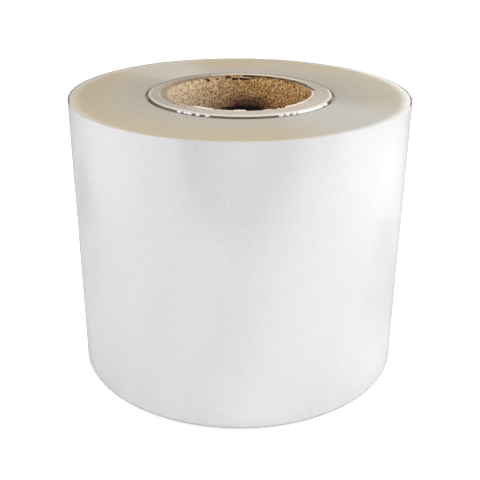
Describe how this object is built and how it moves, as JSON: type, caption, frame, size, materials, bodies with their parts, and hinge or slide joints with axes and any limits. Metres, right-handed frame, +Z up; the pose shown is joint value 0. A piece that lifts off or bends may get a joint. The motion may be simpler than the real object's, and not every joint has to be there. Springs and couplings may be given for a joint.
{
  "type": "roll of sealing film",
  "caption": "Roll of clear sealing film wound on a thick paper core, standing on its end; its core slides on the shaft of a tray sealer or film dispenser.",
  "frame": {"origin": "centre of the core's lower end face, on the surface that the roll stands on", "axes": "+Z up along the roll's axis, -Y towards the viewer of the picture, +X to the right"},
  "size_m": [0.1795, 0.1796, 0.1522],
  "materials": {
    "clear_film": "gloss",
    "core_board": "matte"
  },
  "bodies": {
    "root": {"film_roll": "clear_film", "paper_core": "core_board"}
  },
  "joints": []
}
